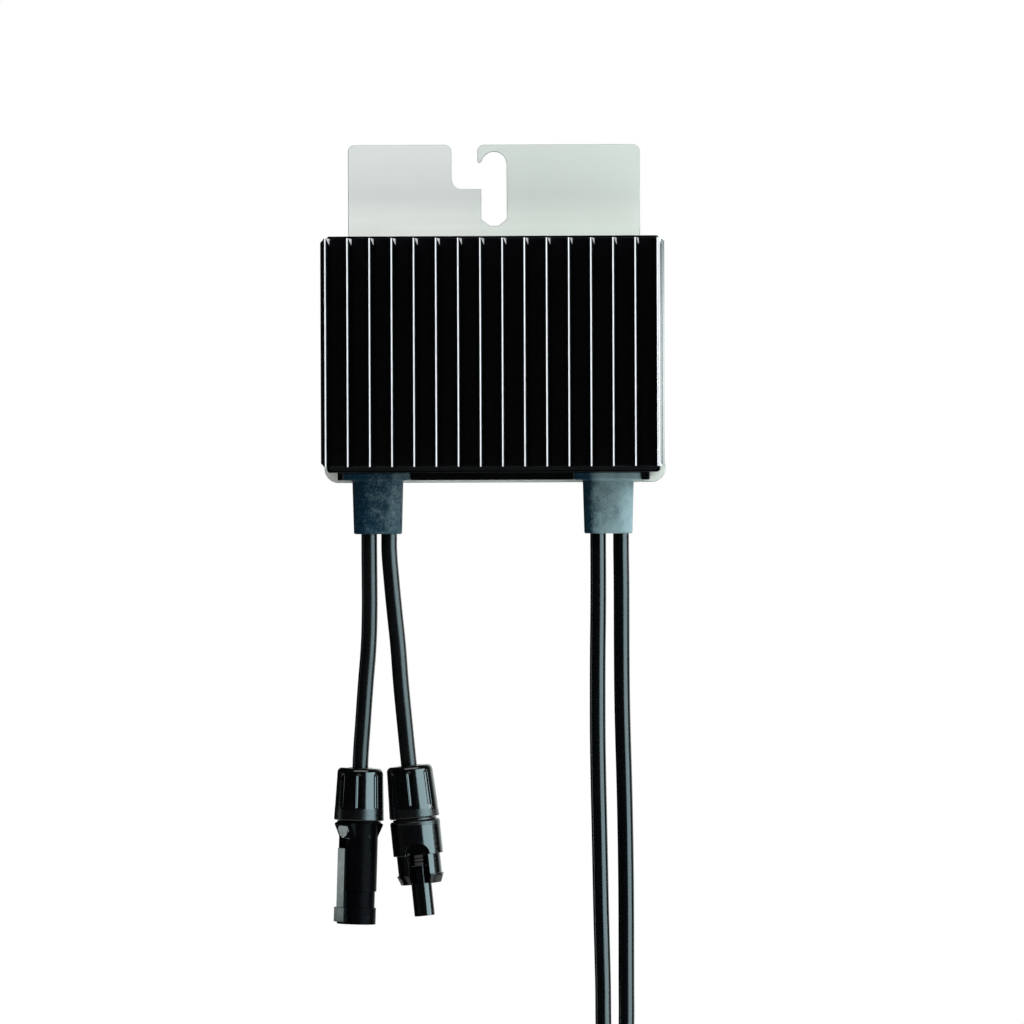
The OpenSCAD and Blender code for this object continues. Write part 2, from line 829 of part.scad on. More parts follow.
// Winged collar with a flat above each window, barrel, waist, end ring and a
// flat rail that keys into the mating coupler's cover
module shell_body() {
    foot = nut_l + shell_l;
    ring_top = foot - ring_l;
    waist_top = ring_top - waist_l;
    collar_foot = body_top + collar_l;
    color([0.06, 0.06, 0.07]) difference() {
        union() {
            spigot();
            intersection() {
                union() {
                    translate([0, 0, -collar_foot])
                        cylinder(h = collar_l - collar_edge, r1 = shell_r, r2 = collar_r);
                    translate([0, 0, -body_top - collar_edge])
                        cylinder(h = collar_edge, r1 = collar_r, r2 = collar_r - collar_edge);
                }
                block(about(0, 2 * collar_r), about(0, 2 * collar_half_depth), [-collar_foot, -body_top]);
            }
            translate([0, 0, -waist_top]) cylinder(h = waist_top - body_top, r = shell_r);
            translate([0, 0, -ring_top]) cylinder(h = waist_l, r = shell_r - shell_waist);
            translate([0, 0, -foot]) cylinder(h = ring_l, r = shell_r);
            block([-rail_out, 0], about(0, rail_w), above(-foot + rail_rise, rail_l));
            block([-rail_out - rail_foot_out, 0], about(0, rail_foot_w), above(-foot + rail_rise, rail_foot_l));
        }
        crimp_bore(pin_seat);
        translate([0, 0, -pin_seat - pin_web - eps]) cylinder(h = pin_web + 2 * eps, r = pin_r + slip);
        translate([0, 0, -foot - 1]) cylinder(h = foot + 1 - pin_seat - pin_web, r = shell_bore_r);
        for (a = [0, 180]) rotate([0, 0, a]) {
            block([-collar_r - 1, facet_in - shell_r], about(0, facet_w),
                [-collar_foot - 1, -body_top - 2 * collar_edge]);
            block([-collar_r, window_in - shell_r], about(0, window_w),
                above(-collar_foot - window_drop - window_l, window_l));
        }
    }
}

module pin_contact() {
    color("lightgray") {
        translate([0, 0, -pin_seat]) cylinder(h = pin_seat - spigot_top, r = crimp_r);
        translate([0, 0, -pin_tip + pin_nose]) cylinder(h = pin_tip - pin_nose - pin_seat + eps, r = pin_r);
        translate([0, 0, -pin_tip]) cylinder(h = pin_nose, r1 = pin_nose_r, r2 = pin_r);
    }
}

// One locking finger: a curved wall with an outward barb at its end
module locking_finger() {
    rotate([0, 0, -finger_span / 2]) rotate_extrude(angle = finger_span) polygon([
        [finger_r - finger_t, 1], [finger_r - finger_t, -finger_l], [finger_r - barb_nose, -finger_l],
        [finger_r + barb_out, barb_l - finger_l - barb_lip], [finger_r + barb_out, barb_l - finger_l],
        [finger_r, barb_l - finger_l], [finger_r, 1]
    ]);
}

// Round block with an arch at front and back, two locking fingers, a ringed
// collar and the probe
module probe_body() {
    foot = nut_l + probe_l;
    block_foot = body_top + block_l;
    color([0.06, 0.06, 0.07]) difference() {
        union() {
            spigot();
            difference() {
                union() {
                    translate([0, 0, -block_foot]) cylinder(h = block_l - block_edge, r = block_r);
                    translate([0, 0, -body_top - block_edge])
                        cylinder(h = block_edge, r1 = block_r, r2 = block_r - block_edge);
                }
                for (a = [0, 180]) rotate([0, 0, a])
                    translate([0, -probe_collar_r, -block_foot]) rotate([90, 0, 0])
                        cylinder(h = block_r, r = arch_r);
            }
            for (a = [0, 180]) rotate([0, 0, a]) translate([0, 0, -block_foot]) locking_finger();
            for (i = [0 : 2]) translate([0, 0, -block_foot - (i + 1) * probe_collar_l / 3])
                cylinder(h = probe_collar_l / 3 + eps, r1 = probe_collar_r - probe_step, r2 = probe_collar_r);
            translate([0, 0, -foot]) cylinder(h = foot - block_foot + 1, r = probe_r);
        }
        translate([0, 0, -foot + mouth_lip]) cylinder(h = foot, r = socket_r + thread_gap);
        translate([0, 0, -foot - 1]) cylinder(h = mouth_lip + 2, r = socket_bore_r);
    }
}

module socket_contact() {
    foot = nut_l + probe_l - mouth_lip - thread_gap;
    color("lightgray") difference() {
        translate([0, 0, -foot]) cylinder(h = foot - spigot_top, r = socket_r);
        translate([0, 0, -foot - 1]) cylinder(h = socket_bore_l + 1, r = socket_bore_r);
    }
}

module at_input_shell() { hang(input_shell_at, input_shell_lean, input_shell_turn) children(); }
module at_input_probe() { hang(input_probe_at, input_probe_lean) children(); }
module at_output_shell() { hang(output_shell_at) children(); }
module at_output_probe() { hang(output_probe_at) children(); }

module input_shell_nut() { hang(input_shell_at, input_shell_lean) cap_nut(); }
module input_shell_seal() { at_input_shell() cable_seal(); }
module input_shell_body() { at_input_shell() shell_body(); }
module input_shell_pin() { at_input_shell() pin_contact(); }
module input_probe_nut() { at_input_probe() cap_nut(); }
module input_probe_seal() { at_input_probe() cable_seal(); }
module input_probe_body() { at_input_probe() probe_body(); }
module input_probe_socket() { at_input_probe() socket_contact(); }
module output_shell_nut() { at_output_shell() cap_nut(); }
module output_shell_seal() { at_output_shell() cable_seal(); }
module output_shell_body() { at_output_shell() shell_body(); }
module output_shell_pin() { at_output_shell() pin_contact(); }
module output_probe_nut() { at_output_probe() cap_nut(); }
module output_probe_seal() { at_output_probe() cable_seal(); }
module output_probe_body() { at_output_probe() probe_body(); }
module output_probe_socket() { at_output_probe() socket_contact(); }

mounting_bracket();
case_screws();
rear_housing();
sealing_frame();
heat_sink();
circuit_board();
board_screws();
power_transistors();
thermal_pad();
inductor_core();
inductor_winding();
input_capacitors();
output_capacitors();
control_chip();
board_terminals();
lead_cores();
input_gland();
output_gland();
input_left_lead();
input_right_lead();
output_left_lead();
output_right_lead();
output_left_coil();
output_right_coil();
coil_tie();
output_left_tail();
output_right_tail();
input_shell_nut();
input_shell_seal();
input_shell_body();
input_shell_pin();
input_probe_nut();
input_probe_seal();
input_probe_body();
input_probe_socket();
output_shell_nut();
output_shell_seal();
output_shell_body();
output_shell_pin();
output_probe_nut();
output_probe_seal();
output_probe_body();
output_probe_socket();
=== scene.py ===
import bpy, bmesh, math
from mathutils import Matrix, Vector


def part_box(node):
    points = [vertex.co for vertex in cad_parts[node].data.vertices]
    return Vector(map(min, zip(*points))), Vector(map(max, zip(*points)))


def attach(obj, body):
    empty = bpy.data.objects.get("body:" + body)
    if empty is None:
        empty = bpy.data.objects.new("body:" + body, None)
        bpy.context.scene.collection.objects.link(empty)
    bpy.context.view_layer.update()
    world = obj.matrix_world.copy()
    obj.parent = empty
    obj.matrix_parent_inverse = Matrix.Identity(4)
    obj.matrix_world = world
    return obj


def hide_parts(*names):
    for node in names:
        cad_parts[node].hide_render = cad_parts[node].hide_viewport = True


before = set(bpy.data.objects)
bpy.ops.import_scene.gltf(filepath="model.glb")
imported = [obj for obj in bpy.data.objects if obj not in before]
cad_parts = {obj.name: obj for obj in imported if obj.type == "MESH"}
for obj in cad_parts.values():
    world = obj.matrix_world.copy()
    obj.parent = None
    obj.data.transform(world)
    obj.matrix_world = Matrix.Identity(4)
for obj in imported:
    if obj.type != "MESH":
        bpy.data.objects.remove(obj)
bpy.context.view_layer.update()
MM = 0.001

# Camera: almost straight at the fins, from far away. CASE_POINT is seen at CASE_PIXEL.

YAW, PITCH, ROLL = math.radians(1.58), math.radians(-0.31), math.radians(-0.21)
PIXEL, STAND_OFF, FAR_CLIP = 0.375 * MM, 4.0, 60
FRAME_PIXELS, SENSOR = 1024, 36
CASE_POINT, CASE_PIXEL = Vector((0, -0.020, -0.1205)), (493.64, 484.54)

forward = Vector((-math.sin(YAW) * math.cos(PITCH), math.cos(YAW) * math.cos(PITCH), math.sin(PITCH)))
level = Vector((math.cos(YAW), math.sin(YAW), 0))
upright = level.cross(forward)
right = math.cos(ROLL) * level + math.sin(ROLL) * upright
up = math.cos(ROLL) * upright - math.sin(ROLL) * level
off_across, off_down = (FRAME_PIXELS / 2 - at for at in CASE_PIXEL)
aim = CASE_POINT + PIXEL * (off_across * right - off_down * up)
turned = Matrix((right, up, -forward)).transposed().to_4x4()
eye = bpy.data.objects.new("eye", bpy.data.cameras.new("eye"))
eye.data.sensor_width = SENSOR
eye.data.lens = SENSOR * STAND_OFF / (FRAME_PIXELS * PIXEL)
eye.data.clip_end = FAR_CLIP
eye.matrix_world = Matrix.Translation(aim - STAND_OFF * forward) @ turned
bpy.context.collection.objects.link(eye)
bpy.context.scene.camera = eye

# Sizes of the solids that the finishes and the leads follow, in millimetres

COUPLERS = ["input_shell", "input_probe", "output_shell", "output_probe"]
SINK_W, FIN_INSET, FIN_COUNT = 129, 2.48, 16
FIN_PITCH = (SINK_W - 2 * FIN_INSET) / (FIN_COUNT - 1)
GLAND_X, GLAND_FOOT = 43.3, -139.0
LEAD_D, LEAD_Y = 6.0, -12.5

# Finishes


class Value:
    """A shader socket that takes part in plain expressions."""

    def __init__(self, nodes, socket):
        self.nodes, self.socket = nodes, socket

    def maths(self, operation, first, second=0.0):
        return self.nodes.add("ShaderNodeMath", {"operation": operation}, {0: first, 1: second})

    def __add__(self, other):
        return self.maths("ADD", self, other)

    __radd__ = __add__

    def __sub__(self, other):
        return self.maths("SUBTRACT", self, other)

    def __rsub__(self, other):
        return self.maths("SUBTRACT", other, self)

    def __mul__(self, other):
        return self.maths("MULTIPLY", self, other)

    __rmul__ = __mul__

    def __abs__(self):
        return self.maths("ABSOLUTE", self)

    def fraction(self):
        return self.maths("FRACT", self)

    def over(self, edge):
        return self.maths("GREATER_THAN", self, edge)

    def most(self, other):
        return self.maths("MAXIMUM", self, other)

    def ease(self, low, high, start=0.0, end=1.0):
        return self.nodes.add("ShaderNodeMapRange", {"interpolation_type": "SMOOTHSTEP"},
                              {0: self, 1: low, 2: high, 3: start, 4: end})


class Nodes:
    """A node tree, built up from nothing."""

    def __init__(self, tree):
        self.tree = tree
        tree.nodes.clear()

    def add(self, kind, settings=None, sockets=None, output=0):
        node = self.tree.nodes.new(kind)
        for name, value in (settings or {}).items():
            setattr(node, name, value)
        for name, value in (sockets or {}).items():
            if isinstance(value, Value):
                self.tree.links.new(value.socket, node.inputs[name])
            else:
                node.inputs[name].default_value = value
        return Value(self, node.outputs[output])

    def part(self, vector, axis):
        return self.add("ShaderNodeSeparateXYZ", None, {0: vector}, axis)

    def mix(self, share, first, second):
        colours = [(*c, 1) if isinstance(c, tuple) else c for c in (first, second)]
        return self.add("ShaderNodeMix", {"data_type": "RGBA"}, {0: share, 6: colours[0], 7: colours[1]}, 2)

    def seen(self):
        """1 where the camera looks straight at it, 0 in mirrorings and for its light."""
        return self.add("ShaderNodeLightPath", output="Is Camera Ray")

    def close(self, kind, shader):
        output = self.tree.nodes.new(kind)
        self.tree.links.new(shader.socket, output.inputs["Surface"])


class Finish(Nodes):
    """One procedural material, made of nodes on object coordinates."""

    def __init__(self, slot):
        self.material = bpy.data.materials.new(slot)
        self.material.use_nodes = True
        super().__init__(self.material.node_tree)
        self.place = self.add("ShaderNodeTexCoord", output="Object")

    def along(self, axis):
        return self.part(self.place, axis)

    def facing(self, axis):
        return self.part(self.add("ShaderNodeNewGeometry", output="Normal"), axis)

    def stretched(self, scale):
        return self.add("ShaderNodeMapping", None, {"Vector": self.place, "Scale": scale})

    def noise(self, scale, detail, roughness=0.5, place=None):
        return self.add("ShaderNodeTexNoise", None, {"Vector": place or self.place, "Scale": scale,
                                                     "Detail": detail, "Roughness": roughness})

    def bump(self, height, distance, strength):
        return self.add("ShaderNodeBump", None, {"Height": height, "Distance": distance, "Strength": strength})

    def surface(self, **sockets):
        names = {name.replace("_", " "): value for name, value in sockets.items()}
        self.close("ShaderNodeOutputMaterial", self.add("ShaderNodeBsdfPrincipled", None, names))
        return self.material


def bracket_sheet():
    """Matte silver sheet, streaked across and darker on its cut edges, with painted light and shade: paler low on
    the tab near the case, and darker towards its right.
    """
    f = Finish("bracket_sheet")
    grain = f.noise(1.0, 4, 0.6, f.stretched((18, 400, 2600)))
    streak = f.noise(1.0, 2, 0.5, f.stretched((9, 200, 330)))
    cloud = f.noise(22, 2)
    # Painted light and shade: the sheet is graded from paler on its left to darker on its right, and paler low on
    # the tab, near the case.
    across = f.along("X").ease(-30 * MM, 20 * MM)
    low = f.along("Z").ease(-25.5 * MM, -10 * MM, 0.9, 0.0)
    silver = f.mix(across, (0.645, 0.67, 0.665), (0.563, 0.617, 0.578))
    pale = f.mix(across, (0.965, 0.98, 0.945), (0.823, 0.90, 0.828))
    dulled = grain * 0.12 + streak.ease(0.35, 0.75) * 0.12 + cloud.ease(0.4, 0.7) * 0.08
    sheet = f.mix(dulled, f.mix(low, silver, pale), (0.54, 0.56, 0.55))
    tone = f.mix(abs(f.facing("Y")).ease(0.80, 0.95), (0.34, 0.36, 0.36), sheet)
    return f.surface(Base_Color=tone, Metallic=0.01, Roughness=grain * 0.18 + 0.50,
                     Specular_IOR_Level=0.06, Normal=f.bump(grain, 0.02 * MM, 0.4))


def black_metal():
    """Gloss black paint. The fin tips are ground bare, painted white in a narrow strip that also stands in for
    their highlight, and a painted highlight lies at the top of each fin's right flank.
    """
    f = Finish("black_metal")
    depth, height, face = f.along("Y"), f.along("Z"), f.facing("X")
    top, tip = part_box("heat_sink")[1].z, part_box("heat_sink")[0].y
    pitch, flag_h, flag_d, blur = FIN_PITCH * MM, 2.6 * MM, 11.5 * MM, 0.1 * MM
    wear, peel = f.noise(900, 3), f.noise(350, 2)
    off_middle = abs((f.along("X") * (1 / pitch)).fraction() - 0.5) * pitch
    # The fin tips are ground bare and painted white in a strip narrower than the tip, which also stands in for the
    # tip's highlight.
    bare_and_lit_tip = 1 - depth.ease(tip + 0.03 * MM, tip + 0.10 * MM)
    bare_and_lit_tip = bare_and_lit_tip * (1 - off_middle.ease(0.18 * MM, 0.24 * MM))
    # Painted highlight: a triangle at the top of each fin's right flank, where light from above and the right falls
    # into the channel.
    above_flag_edge = height + (depth - tip) * (flag_h / flag_d) - (top + blur)
    painted_flag = above_flag_edge.ease(-blur, blur) * face.ease(0.85, 0.97)
    painted_flag = painted_flag * (1 - depth.ease(tip + flag_d - blur, tip + flag_d + blur))
    paint = f.mix(wear * 0.3, (0.0008, 0.0007, 0.0016), (0.002, 0.002, 0.003))
    # The tips' bare metal, brightened to stand in for their highlight; then the colour of the painted highlight on
    # the flanks.
    ground_and_highlight = f.mix(wear, (0.94, 0.95, 0.99), (0.78, 0.80, 0.85))
    flag_highlight = f.mix(wear, (0.94, 0.97, 0.95), (0.80, 0.84, 0.82))
    tone = f.mix(painted_flag, f.mix(bare_and_lit_tip, paint, ground_and_highlight), flag_highlight)
    rough = bare_and_lit_tip.most(painted_flag) * 0.25 + peel * 0.06 + 0.12
    drawn = 1 - face.ease(0.985, 0.998)
    return f.surface(Base_Color=tone, Roughness=rough * (drawn * 0.85 + 0.15), Specular_IOR_Level=0.75,
                     Normal=f.bump(peel * drawn, 0.02 * MM, 0.15))


def lead_sheath():
    """Smooth black sheath, rubbed in patches, and duller on the handled input leads."""
    f = Finish("lead_sheath")
    patch, rub, fine = f.noise(120, 3), f.noise(45, 2), f.noise(1500, 2)
    dull = f.along("X").ease(-10 * MM, 10 * MM, 0.28, 0.20)
    return f.surface(Base_Color=f.mix(patch, (0.0006, 0.0009, 0.0014), (0.0018, 0.0024, 0.0030)),
                     Roughness=dull + (rub - 0.5) * 0.16, Specular_IOR_Level=0.25,
                     Normal=f.bump(fine, 0.012 * MM, 0.35))


def shell_plastic():
    """Spark-eroded barrel, near black, with polished flats: the rail and the flats above the windows."""
    f = Finish("coupler_plastic")
    window_top, window_foot = 6.5 * MM, 10.1 * MM
    patch, fine, rub = f.noise(120, 3), f.noise(1400, 2), f.noise(420, 3, 0.6)
    flat = f.add("ShaderNodeAttribute", {"attribute_name": "flat"}, output="Fac")
    height, window = f.along("Z"), 0.0
    for coupler in ("input_shell", "output_shell"):
        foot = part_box(coupler + "_nut")[0].z
        window = (height.over(foot - window_foot) * (1 - height.over(foot - window_top))).most(window)
    polish = flat * (1 - window) * (1.25 - rub * 0.7)
    return f.surface(Base_Color=f.mix(patch, (0.0006, 0.0006, 0.0010), (0.0018, 0.0018, 0.0024)),
                     Roughness=0.30 + patch * 0.08, Specular_IOR_Level=0.015,
                     Coat_Weight=polish.most(rub.ease(0.60, 0.75, 0.0, 0.08)), Coat_Roughness=0.10,
                     Normal=f.bump(fine, 0.02 * MM, 0.3))


def nut_plastic():
    """Gloss black, with a grained grip band round the foot of the nut."""
    f = Finish("nut_plastic")
    patch, sink = f.noise(120, 3), f.noise(300, 2)
    fine, grains = f.noise(1400, 2), f.noise(2600, 3, 0.7)
    height, band = f.along("Z"), 0.0
    for coupler in COUPLERS:
        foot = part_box(coupler + "_nut")[0].z
        above = height.ease(foot - 1.5 * MM, foot - 1 * MM)
        below = 1 - height.ease(foot + 4.2 * MM, foot + 4.6 * MM)
        band = (above * below).most(band)
    return f.surface(Base_Color=f.mix(patch, (0.0008, 0.0008, 0.0012), (0.0020, 0.0022, 0.0026)),
                     Roughness=0.11 + patch * 0.05 + band * 0.13, Specular_IOR_Level=0.36,
                     Normal=f.bump(sink * 0.35 + fine * 0.12 + band * grains, 0.09 * MM, 0.5))


def gland_rubber():
    """Moulded rubber with mottled specks, its tone painted with light and shade: dark navy in shade on the left of
    each gland and on the input gland, teal-grey where lit on the right and on the output gland, in soft patches.
    """
    f = Finish("gland_rubber")
    half_w, off_axis = 9.6 * MM, 0.5 * MM
    bloom, mottle, fine = f.noise(170, 3, 0.6), f.noise(1100, 4, 0.65), f.noise(3200, 2)
    output = f.along("X").over(0.0)
    across = (f.along("X") - output * (2 * GLAND_X * MM) + (GLAND_X * MM + off_axis)) * (1 / half_w)
    # Painted light and shade: share runs from dark navy, in shade on the left and on the input gland, to lit
    # teal-grey on the right and on the output gland.
    share = across.ease(-0.95, -0.45) * 0.62 + across * 0.14 + output * 0.42 - 0.40
    share = share + (bloom - 0.5) * 0.8 + (mottle - 0.5) * 0.5
    tone = f.mix(share.ease(0.10, 0.95), (0.002, 0.019, 0.037), (0.22, 0.325, 0.345))
    speck = mottle.ease(0.45, 0.75) * 0.20
    return f.surface(Base_Color=f.mix(speck, tone, (0.10, 0.21, 0.26)), Roughness=mottle * 0.12 + 0.40,
                     Specular_IOR_Level=0.06, Normal=f.bump(mottle * 0.6 + fine * 0.4, 0.04 * MM, 0.3))


def board_laminate():
    """Green solder resist over a pattern of tracks."""
    f = Finish("board_laminate")
    weave = f.add("ShaderNodeTexVoronoi", {"distance": "MANHATTAN"}, {"Vector": f.place, "Scale": 260.0})
    tracks = weave.ease(0.30, 0.34)
    return f.surface(Base_Color=f.mix(tracks, (0.012, 0.10, 0.04), (0.02, 0.16, 0.07)),
                     Roughness=0.35 + tracks * 0.1, Normal=f.bump(tracks, 0.03 * MM, 0.5))


def moulded(slot, deep, pale, gloss, grain, rise, level):
    """Moulded plastic or rubber: two tones in soft patches, and a fine moulded grain."""
    f = Finish(slot)
    patch, fine = f.noise(120, 3), f.noise(grain, 2)
    return f.surface(Base_Color=f.mix(patch, deep, pale), Roughness=gloss + patch * 0.06,
                     Specular_IOR_Level=level, Normal=f.bump(fine, rise * MM, 0.35))


def metal(slot, base, dull, gloss, scale):
    """Bare metal with a fine grain."""
    f = Finish(slot)
    grain = f.noise(scale, 3)
    return f.surface(Base_Color=f.mix(grain, base, dull), Metallic=1.0, Roughness=grain * 0.15 + gloss,
                     Normal=f.bump(grain, 0.02 * MM, 0.3))


# Deep and pale tone, roughness, grain scale, grain height in millimetres, specular level
MOULDED = {
    "housing_plastic": ((0.0007, 0.0007, 0.001), (0.0018, 0.0018, 0.0024), 0.22, 1800, 0.02, 0.15),
    "seal_rubber": ((0.0012, 0.0012, 0.0014), (0.0032, 0.0032, 0.0034), 0.5, 1200, 0.03, 0.12),
    "chip_plastic": ((0.010, 0.010, 0.011), (0.025, 0.025, 0.026), 0.45, 2000, 0.03, 0.4),
    "pad_rubber": ((0.38, 0.52, 0.62), (0.48, 0.62, 0.72), 0.6, 900, 0.04, 0.4),
    "ferrite": ((0.05, 0.05, 0.055), (0.09, 0.09, 0.10), 0.5, 1500, 0.05, 0.5),
    "capacitor_case": ((0.48, 0.35, 0.08), (0.58, 0.44, 0.13), 0.4, 900, 0.02, 0.5),
    "tie_plastic": ((0.008, 0.008, 0.009), (0.016, 0.016, 0.017), 0.40, 1500, 0.03, 0.5),
}
# Bright and dull tone, roughness, grain scale
METALS = {
    "contact_metal": ((0.80, 0.80, 0.78), (0.66, 0.66, 0.64), 0.18, 700),
    "screw_steel": ((0.62, 0.62, 0.61), (0.48, 0.48, 0.47), 0.25, 800),
    "copper": ((0.72, 0.36, 0.20), (0.58, 0.27, 0.14), 0.28, 900),
    "terminal_metal": ((0.70, 0.66, 0.52), (0.55, 0.51, 0.40), 0.25, 700),
}
FINISHES = {
    "bracket_sheet": bracket_sheet(),
    "black_metal": black_metal(),
    "gland_rubber": gland_rubber(),
    "lead_sheath": lead_sheath(),
    "coupler_plastic": shell_plastic(),
    "nut_plastic": nut_plastic(),
    "board_laminate": board_laminate(),
    **{slot: moulded(slot, *look) for slot, look in MOULDED.items()},
    **{slot: metal(slot, *look) for slot, look in METALS.items()},
}


def finish(piece, look):
    piece.data.materials.clear()
    piece.data.materials.append(FINISHES[look])


def settle(piece, slot, look=None):
    """A new piece of the scene: its finish, from its look or else its slot, and the body it rides on."""
    bpy.context.collection.objects.link(piece)
    finish(piece, look or slot)
    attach(piece, "root")
    return piece


# Leads: the routes of the solids, in millimetres

LEAD_BITE, NUT_START, LEAD_START = 6.15, 4.0, 6.0
COIL_START, COIL_STUB, COIL_EASE = 5.0, 26.0, 12
TURN_STEP, COIL_OUT_R, TURN_COUNT, TURN_POINTS = 6.2, 37.9, 4, 16


def under(side, across, front, drop):
    return Vector((side * GLAND_X + across, LEAD_Y - front, GLAND_FOOT - drop))


INPUT_SHELL, INPUT_SHELL_LEAN = under(-1, -7.4, 0, 87.8), 1.8
INPUT_PROBE, INPUT_PROBE_LEAN = under(-1, 10.9, 0, 87), -5.8
OUTPUT_SHELL, OUTPUT_PROBE = under(1, 1.7, 20.9, 323.5), under(1, 1.7, 1.1, 323.5)
COIL = under(1, 1.8, 15.1, 263.5) - Vector((COIL_OUT_R, 0, 0))


def down_axis(at, lean, down):
    return at - down * Vector((math.sin(math.radians(lean)), 0, math.cos(math.radians(lean))))


def leaving(side, across):
    return [under(side, across, 0, 0), under(side, across, 0, LEAD_START)]


def passing(side, *places):
    return [under(side, *place) for place in places]


def entering(at, lean=0.0):
    return [down_axis(at, lean, -NUT_START), down_axis(at, lean, LEAD_BITE)]


def smooth_step(low, high, value):
    t = min(1.0, max(0.0, (value - low) / (high - low)))
    return t * t * (3 - 2 * t)


def coil_end(layer, rise):
    return COIL + Vector((COIL_OUT_R, layer * TURN_STEP, rise))


def coiled(side):
    """Down into the coil, four turns, and down out of it.

    The turns go clockwise from the front: outside, inside, inside on the next layer, outside.
    """
    points = [coil_end(side * 0.5, rise) for rise in (COIL_STUB + COIL_START, COIL_STUB, COIL_EASE)]
    for step in range(1, TURN_COUNT * TURN_POINTS):
        turn = step / TURN_POINTS
        inward = smooth_step(0.80, 0.98, turn) - smooth_step(3.02, 3.20, turn)
        layer = side * (0.5 + smooth_step(1.80, 1.98, turn))
        radius, angle = COIL_OUT_R - TURN_STEP * inward, -2 * math.pi * turn
        points.append(COIL + Vector((radius * math.cos(angle), layer * TURN_STEP, radius * math.sin(angle))))
    return points + [coil_end(side * 1.5, -drop) for drop in (COIL_EASE, COIL_STUB, COIL_STUB + COIL_START)]


ROUTES = {
    "input_left_lead": leaving(-1, -3.75) + passing(
        -1, (-3.7, 0, 16.5), (-3.7, 0, 28.5), (-4.1, 0, 41.5), (-5.3, 0, 56.5), (-6.4, 0, 71.5))
    + entering(INPUT_SHELL, INPUT_SHELL_LEAN),
    "input_right_lead": leaving(-1, 3.75) + passing(
        -1, (4.5, 0, 16.5), (5.6, 0, 28.5), (6.9, 0, 41.5), (8, 0, 56.5), (9.2, 0, 69.5))
    + entering(INPUT_PROBE, INPUT_PROBE_LEAN),
    "output_left_lead": leaving(1, -4.3) + passing(
        1, (-4.3, 0, 17.5), (-4.4, 0, 31.5), (-4.6, 0, 45.5), (-4.7, 0, 61.5), (-4.7, 0.1, 77.5), (-4.5, 0.3, 93.5),
        (-4.2, 1, 109.5), (-3.9, 2.2, 125.5), (-3.6, 3.9, 141.5), (-3.2, 6, 157.5), (-2.9, 8, 170.5),
        (-2.8, 10, 182.5), (-2.5, 11.9, 193.5), (-1.8, 13.8, 204), (-0.7, 15.5, 214), (0.7, 17.2, 224))
    + coiled(-1) + passing(1, (1.8, 22.9, 305.5)) + entering(OUTPUT_SHELL),
    "output_right_lead": leaving(1, 4.3) + passing(
        1, (4.4, 0, 17.5), (4.4, 0, 31.5), (4.4, 0, 45.5), (4.5, 0, 61.5), (4.8, 0.1, 77.5), (5.2, 0.2, 93.5),
        (5.5, 0.7, 109.5), (5.7, 1.4, 125.5), (5.8, 2.4, 141.5), (5.8, 3.6, 157.5), (5.8, 4.8, 170.5),
        (5.8, 6, 182.5), (5.5, 7.2, 193.5), (4.8, 8.5, 204), (3.7, 9.8, 214), (2.6, 11.1, 224))
    + coiled(1) + passing(1, (1.8, 3.7, 305.5)) + entering(OUTPUT_PROBE),
}


def lead_curve(name, route):
    curve = bpy.data.curves.new(name, "CURVE")
    curve.dimensions = "3D"
    curve.bevel_depth, curve.bevel_resolution = LEAD_D / 2 * MM, 6
    curve.resolution_u, curve.use_fill_caps = 6, True
    spline = curve.splines.new("BEZIER")
    spline.bezier_points.add(len(route) - 1)
    for point, at in zip(spline.bezier_points, route):
        point.co = at * MM
        point.handle_left_type = point.handle_right_type = "AUTO"
    return bpy.data.objects.new(name, curve)


leads = {name: settle(lead_curve(name + "_sheath", route), "lead_sheath") for name, route in ROUTES.items()}

# Copies of the solids that get their edges eased

MERGE, SLIVER, FLAT_W = 0.002 * MM, 0.04 * MM, 1.6 * MM
COPLANAR, SHARP, CREASE = math.radians(0.6), math.radians(32), math.radians(24)


def softened(node, slot, width, look=None):
    """A copy of a solid with its sharp edges eased, and its broad faces marked as flat."""
    shape = bmesh.new()
    shape.from_mesh(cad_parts[node].data)
    bmesh.ops.remove_doubles(shape, verts=shape.verts, dist=MERGE)
    bmesh.ops.dissolve_limit(shape, angle_limit=COPLANAR, verts=shape.verts, edges=shape.edges)
    bmesh.ops.dissolve_degenerate(shape, dist=SLIVER, edges=shape.edges)
    edges = [edge for edge in shape.edges if edge.is_manifold and edge.calc_face_angle() > SHARP]
    eased = set(bmesh.ops.bevel(shape, geom=edges, offset=width * MM, offset_type="OFFSET", affect="EDGES",
                                segments=1, profile=0.5, material=-1, clamp_overlap=False)["faces"])
    for face in shape.faces:
        face.smooth = True
    for edge in shape.edges:
        sides = [face in eased for face in edge.link_faces]
        edge.smooth = sides.count(True) != 1 and edge.calc_face_angle(0.0) < CREASE
    flat = shape.faces.layers.float.new("flat")
    for face in shape.faces:
        face[flat] = float(2 * face.calc_area() > FLAT_W * face.calc_perimeter())
    bmesh.ops.triangulate(shape, faces=[face for face in shape.faces if len(face.verts) > 4])
    mesh = bpy.data.meshes.new(node + "_dressed")
    shape.to_mesh(mesh)
    shape.free()
    piece = settle(bpy.data.objects.new(node + "_dressed", mesh), slot, look)
    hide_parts(node)
    return piece


